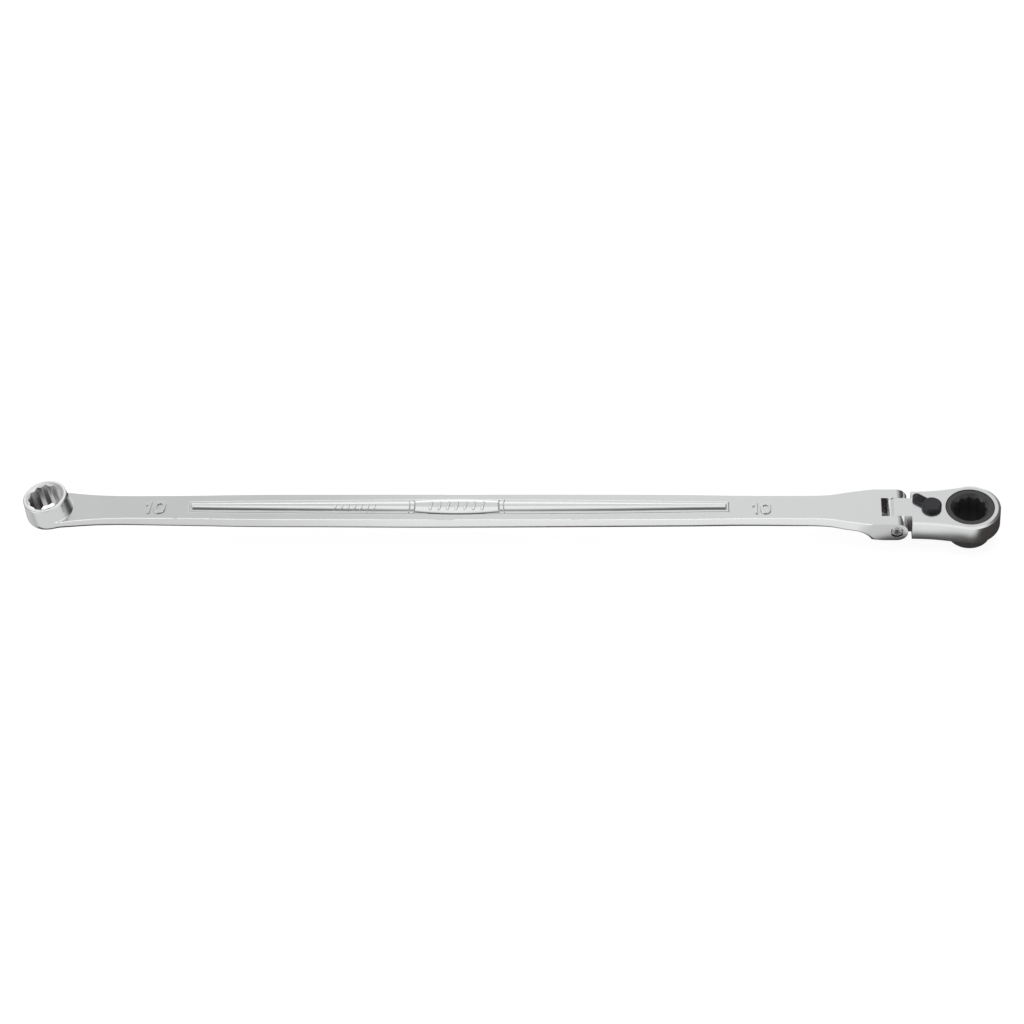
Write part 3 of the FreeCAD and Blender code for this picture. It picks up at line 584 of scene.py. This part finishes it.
def add_noise(tree, scale, detail=2.0):
    """Noise fixed to the piece's own coordinates, in lumps of about 1/scale metres."""
    place = tree.nodes.new("ShaderNodeTexCoord")
    noise = tree.nodes.new("ShaderNodeTexNoise")
    noise.inputs["Scale"].default_value = scale
    noise.inputs["Detail"].default_value = detail
    tree.links.new(place.outputs["Object"], noise.inputs["Vector"])
    return noise.outputs["Fac"]


def add_range(tree, noise, low, high):
    """Noise, which is mostly between 0.3 and 0.7, spread over low to high."""
    spread = tree.nodes.new("ShaderNodeMapRange")
    spread.inputs["From Min"].default_value = 0.3
    spread.inputs["From Max"].default_value = 0.7
    spread.inputs["To Min"].default_value = low
    spread.inputs["To Max"].default_value = high
    tree.links.new(noise, spread.inputs["Value"])
    return spread.outputs["Result"]


def add_mix(tree, source, dark, light):
    """The colour dark where source is 0 and light where it is 1."""
    mix = tree.nodes.new("ShaderNodeMix")
    mix.data_type = "RGBA"
    mix.inputs[6].default_value = (*dark, 1.0)
    mix.inputs[7].default_value = (*light, 1.0)
    tree.links.new(source, mix.inputs[0])
    return mix.outputs[2]


def add_grain(tree, shader, scale, strength):
    """A fine grain in the surface, two hundredths of a millimetre deep at full strength."""
    bump = tree.nodes.new("ShaderNodeBump")
    bump.inputs["Strength"].default_value = strength
    bump.inputs["Distance"].default_value = 0.02 * MM
    tree.links.new(add_noise(tree, scale), bump.inputs["Height"])
    tree.links.new(bump.outputs["Normal"], shader.inputs["Normal"])


def metal(name, metallic, dark, light, roughness, cloud_scale, grain_scale, grain):
    """A metal whose colour and roughness vary together in soft clouds, with a fine grain."""
    material, tree, shader = principled(name)
    shader.inputs["Metallic"].default_value = metallic
    cloud = add_noise(tree, cloud_scale, detail=3.0)
    tree.links.new(add_mix(tree, cloud, dark, light), shader.inputs["Base Color"])
    tree.links.new(add_range(tree, cloud, *roughness), shader.inputs["Roughness"])
    add_grain(tree, shader, grain_scale, grain)
    return material


def satin_chrome():
    """Satin chrome plate."""
    return metal(
        "satin_chrome", metallic=1.0, dark=(0.73, 0.735, 0.74), light=(0.76, 0.765, 0.77),
        roughness=(0.19, 0.24), cloud_scale=90.0, grain_scale=5200.0, grain=0.1,
    )


def black_steel():
    """Satin black steel."""
    return metal(
        "black_steel", metallic=0.6, dark=(0.06, 0.06, 0.062), light=(0.095, 0.095, 0.097),
        roughness=(0.34, 0.46), cloud_scale=260.0, grain_scale=6000.0, grain=0.12,
    )


def bare_steel(name, light, rough):
    """Bare steel of the given lightest colour and middle roughness."""
    least = 0.85
    most = 1.15
    return metal(
        name, metallic=1.0, dark=tuple(value * least for value in light), light=light,
        roughness=(rough * least, rough * most), cloud_scale=700.0, grain_scale=7000.0, grain=0.1,
    )


def seal_rubber():
    """Matt black rubber."""
    material, tree, shader = principled("seal_rubber")
    shader.inputs["Base Color"].default_value = (0.02, 0.02, 0.02, 1.0)
    tree.links.new(add_range(tree, add_noise(tree, 2500.0), 0.6, 0.75), shader.inputs["Roughness"])
    return material


def dress(piece, material):
    """Give a piece this one material."""
    piece.data.materials.clear()
    piece.data.materials.append(material)


def dress_frame(chrome):
    """Give every CAD node but the handle its material.

    The frame comes with plain materials of its own, and a lookup by name finds those, not this script's.
    """
    finishes = {
        "head_housing": chrome,
        "ratchet_gear": black_steel(),
        "gear_retaining_ring": bare_steel("spring_steel", (0.45, 0.45, 0.46), 0.3),
        "pivot_screw": bare_steel("screw_steel", (0.62, 0.62, 0.63), 0.25),
        "pawl": bare_steel("hardened_steel", (0.3, 0.3, 0.31), 0.4),
        "lever_seal": seal_rubber(),
        "reversing_lever": bpy.data.materials["black_steel"],
    }
    for name in ("lever_clip", "pawl_spring", "hinge_spring"):
        finishes[name] = bpy.data.materials["spring_steel"]
    for name in ("pawl_plunger", "hinge_plunger"):
        finishes[name] = bpy.data.materials["hardened_steel"]
    for name, material in finishes.items():
        dress(frame["nodes"][name], material)


# ---- stage ------------------------------------------------------------------

# Each row below is a smooth ramp: where it starts and ends, then its values at the start and the end.
# The floor's painted brightness in reflections, by x or y in metres: a painted shadow under the wrench and
# painted light around it.
SHADE_UNDER_BAR = (-0.042, -0.020, 0.0124, 0.0170)
SHADE_UNDER_HEAD = (-0.016, -0.002, 0.0, 0.0035)
SHADE_EDGE = 0.0012
ACROSS_RING_HOLE = (0.0075, 0.006, 0.0, 0.8)
ALONG_RING_HOLE = (-0.300, -0.308, 0.0, 1.0)
BEYOND_RING_WALL = (-0.315, -0.319, 0.0, 0.7)
BEHIND_WRENCH = (0.022, 0.05, 0.0, 0.75)
PAST_HEAD = (0.028, 0.05, 0.0, 0.8)
PAST_RING = (-0.33, -0.35, 0.0, 0.8)
BY_HEAD = (0.002, 0.014, 1.0, 0.12)
ALONG_BAR = (-0.26, -0.13, 0.8, 1.12)
BEFORE_EARS = (-0.044, -0.036, 0.0, 0.4)
PAST_EARS = (-0.0215, -0.0195, 0.0, 0.8)
PAINTED_FLOOR_SHADOW = (0.03, 0.024, 0.022)
FLOOR_GREY = (0.3, 0.3, 0.3, 1.0)
FLOOR_GLOW = 0.88
FLOOR_GAP = 0.0001
FLOOR_REACH = 30.0
WHITE = (1.0, 1.0, 1.0, 1.0)

# The world's brightness, by the parts of the direction that is looked in.
DARK_ON_RIGHT = (0.3, 0.6, 0.0, 0.88)
HIGH_UP = (0.4, 0.55, 0.0, 1.0)
AT_BACK = (0.05, 0.3, 0.0, 1.0)
BACK_TO_FRONT = (0.1, -0.1, 0.5, 0.95)
IN_FRONT = (-0.1, -0.4, 0.0, 1.0)
LOW_STRIP = (0.5, 0.3, 0.0, 1.1)
OVERHEAD = (0.78, 0.9, 0.0, 1.12)
CARD_INNER = math.radians(18.0)
CARD_OUTER = math.radians(48.0)
CARD_BRIGHTNESS = 0.15

# Soft boxes behind the wrench: name, place, brightness of the face, width and height.
SOFT_BOXES = [
    ("low_soft_box", (-0.225, 0.4, 0.09), 0.95, 0.67, 0.16),
    ("high_soft_box", (-0.225, 0.4, 0.42), 0.2, 0.67, 0.52),
    ("peak_soft_box", (-0.07, 0.39, 0.39), 0.17, 0.27, 0.3),
    ("end_soft_box", (-0.49, 0.39, 0.39), 0.42, 0.16, 0.3),
]

# Camera. The picture is a little wider than the wrench, and the camera aims just above its middle plane.
CAMERA_ELEVATION = math.radians(45.3)
LENS = 250.0
SENSOR = 36.0
PICTURE_SHARE = 1.0475
AIM_Z = 0.00133
NEAREST = 0.05
FARTHEST = 200.0


def set_input(tree, socket, value):
    """Link a socket to another, or give it a number."""
    if isinstance(value, (int, float)):
        socket.default_value = value
    else:
        tree.links.new(value, socket)


def calculate(tree, operation, first, second):
    """A maths node on two sockets or numbers."""
    node = tree.nodes.new("ShaderNodeMath")
    node.operation = operation
    set_input(tree, node.inputs[0], first)
    set_input(tree, node.inputs[1], second)
    return node.outputs[0]


def ramp(tree, source, start, end, low=0.0, high=1.0):
    """A smooth ramp from low at start to high at end. Start and end may be sockets."""
    node = tree.nodes.new("ShaderNodeMapRange")
    node.interpolation_type = "SMOOTHSTEP"
    set_input(tree, node.inputs["Value"], source)
    set_input(tree, node.inputs["From Min"], start)
    set_input(tree, node.inputs["From Max"], end)
    set_input(tree, node.inputs["To Min"], low)
    set_input(tree, node.inputs["To Max"], high)
    return node.outputs["Result"]


def painted_lit_floor(tree, x, y):
    """Where the floor is painted bright in reflections: all but a strip under the wrench, where the wrench's
    shadow is painted.
    """
    shade = calculate(tree, "ADD", ramp(tree, x, *SHADE_UNDER_BAR), ramp(tree, x, *SHADE_UNDER_HEAD))
    front_start = calculate(tree, "SUBTRACT", SHADE_EDGE, shade)
    front_end = calculate(tree, "SUBTRACT", -SHADE_EDGE, shade)
    lit = ramp(tree, y, front_start, front_end)
    across = ramp(tree, calculate(tree, "ABSOLUTE", y, 0.0), *ACROSS_RING_HOLE)
    through_ring = calculate(tree, "MULTIPLY", across, ramp(tree, x, *ALONG_RING_HOLE))
    beyond = [ramp(tree, x, *row) for row in (BEYOND_RING_WALL, PAST_HEAD, PAST_RING)]
    for patch in (through_ring, ramp(tree, y, *BEHIND_WRENCH), *beyond):
        lit = calculate(tree, "MAXIMUM", lit, patch)
    return lit


def painted_floor_reflection(tree):
    """The floor's painted brightness in reflections: a painted shadow under the wrench, painted light
    elsewhere.
    """
    place = tree.nodes.new("ShaderNodeNewGeometry")
    split = tree.nodes.new("ShaderNodeSeparateXYZ")
    tree.links.new(place.outputs["Position"], split.inputs["Vector"])
    x = split.outputs["X"]
    by_head = calculate(tree, "MAXIMUM", ramp(tree, x, *BY_HEAD), ramp(tree, x, *PAST_HEAD))
    lit = calculate(tree, "MULTIPLY", painted_lit_floor(tree, x, split.outputs["Y"]), by_head)
    level = calculate(tree, "SUBTRACT", ramp(tree, x, *ALONG_BAR), ramp(tree, x, *BEFORE_EARS))
    level = calculate(tree, "ADD", level, ramp(tree, x, *PAST_EARS))
    return calculate(tree, "MULTIPLY", lit, level)


def pale_floor():
    """A pale lit table. In reflections it shows a painted shadow close under the wrench and painted light
    elsewhere.
    """
    material, tree, shader = principled("pale_floor")
    shader.inputs["Base Color"].default_value = FLOOR_GREY
    shader.inputs["Roughness"].default_value = 0.9
    shader.inputs["Specular IOR Level"].default_value = 0.0
    shader.inputs["Emission Color"].default_value = WHITE
    shader.inputs["Emission Strength"].default_value = FLOOR_GLOW
    # Reflections see this emission instead of the floor: a painted shadow under the wrench and painted light
    # around it.
    mirrored = tree.nodes.new("ShaderNodeEmission")
    colour = add_mix(tree, painted_floor_reflection(tree), PAINTED_FLOOR_SHADOW, WHITE[:3])
    tree.links.new(colour, mirrored.inputs["Color"])
    rays = tree.nodes.new("ShaderNodeLightPath")
    mix = tree.nodes.new("ShaderNodeMixShader")
    tree.links.new(rays.outputs["Is Glossy Ray"], mix.inputs["Fac"])
    tree.links.new(shader.outputs["BSDF"], mix.inputs[1])
    tree.links.new(mirrored.outputs["Emission"], mix.inputs[2])
    tree.links.new(mix.outputs["Shader"], tree.nodes["Material Output"].inputs["Surface"])
    return material


def make_floor():
    """A wide plain floor just under the wrench."""
    mesh = bpy.data.meshes.new("floor")
    height = cad_box[0][2] - FLOOR_GAP
    corners = [(-1, -1), (1, -1), (1, 1), (-1, 1)]
    points = [(FLOOR_REACH * x, FLOOR_REACH * y, height) for x, y in corners]
    mesh.from_pydata(points, [], [(0, 1, 2, 3)])
    mesh.materials.append(pale_floor())
    floor = bpy.data.objects.new("floor", mesh)
    bpy.context.scene.collection.objects.link(floor)


def make_world():
    """Soft white light: bright overhead and low in front, dark high on the right and at its back.

    A dark card stands in front where the camera is.
    """
    world = bpy.data.worlds.new("studio")
    world.use_nodes = True
    bpy.context.scene.world = world
    tree = world.node_tree
    background = tree.nodes["Background"]
    background.inputs["Color"].default_value = WHITE
    place = tree.nodes.new("ShaderNodeTexCoord")
    split = tree.nodes.new("ShaderNodeSeparateXYZ")
    tree.links.new(place.outputs["Generated"], split.inputs["Vector"])
    x, y, z = (split.outputs[axis] for axis in "XYZ")
    towards_card = tree.nodes.new("ShaderNodeVectorMath")
    towards_card.operation = "DOT_PRODUCT"
    tree.links.new(place.outputs["Generated"], towards_card.inputs[0])
    towards_card.inputs[1].default_value = (0.0, -math.cos(CAMERA_ELEVATION), math.sin(CAMERA_ELEVATION))
    facing = towards_card.outputs["Value"]
    card = ramp(tree, facing, math.cos(CARD_OUTER), math.cos(CARD_INNER), 1.0, CARD_BRIGHTNESS)
    high_or_back = calculate(tree, "MAXIMUM", ramp(tree, z, *HIGH_UP), ramp(tree, y, *AT_BACK))
    unlit = calculate(tree, "MULTIPLY", ramp(tree, x, *DARK_ON_RIGHT), high_or_back)
    strip = calculate(tree, "MULTIPLY", ramp(tree, y, *IN_FRONT), ramp(tree, z, *LOW_STRIP))
    level = calculate(tree, "ADD", ramp(tree, y, *BACK_TO_FRONT), strip)
    level = calculate(tree, "MAXIMUM", level, ramp(tree, z, *OVERHEAD))
    level = calculate(tree, "MULTIPLY", level, card)
    level = calculate(tree, "MULTIPLY", level, calculate(tree, "SUBTRACT", 1.0, unlit))
    tree.links.new(level, background.inputs["Strength"])


def make_lights():
    """The soft boxes, which all face the front."""
    facing_front = Vector((0.0, -1.0, 0.0)).to_track_quat("-Z", "Y")
    for name, place, glow, wide, high in SOFT_BOXES:
        light = bpy.data.lights.new(name, "AREA")
        light.shape = "RECTANGLE"
        light.size = wide
        light.size_y = high
        light.energy = glow * math.pi * wide * high
        lamp = bpy.data.objects.new(name, light)
        lamp.location = place
        lamp.rotation_mode = "QUATERNION"
        lamp.rotation_quaternion = facing_front
        lamp.visible_camera = False
        bpy.context.scene.collection.objects.link(lamp)


def make_camera():
    """A long lens in front of the wrench and above it, with plain colours."""
    low, high = cad_box
    far = (high[0] - low[0]) * PICTURE_SHARE * LENS / SENSOR
    aim = Vector(((low[0] + high[0]) / 2, 0.0, AIM_Z))
    back = Vector((0.0, -math.cos(CAMERA_ELEVATION), math.sin(CAMERA_ELEVATION)))
    data = bpy.data.cameras.new("camera")
    data.lens = LENS
    data.sensor_width = SENSOR
    data.clip_start = NEAREST
    data.clip_end = FARTHEST
    camera = bpy.data.objects.new("camera", data)
    camera.location = aim + back * far
    camera.rotation_mode = "QUATERNION"
    camera.rotation_quaternion = (-back).to_track_quat("-Z", "Y")
    bpy.context.scene.collection.objects.link(camera)
    bpy.context.scene.camera = camera
    bpy.context.scene.view_settings.view_transform = "Standard"


make_camera()
make_world()
make_lights()
make_floor()
chrome = satin_chrome()
dress_frame(chrome)
dress(make_handle(), chrome)
make_springs()
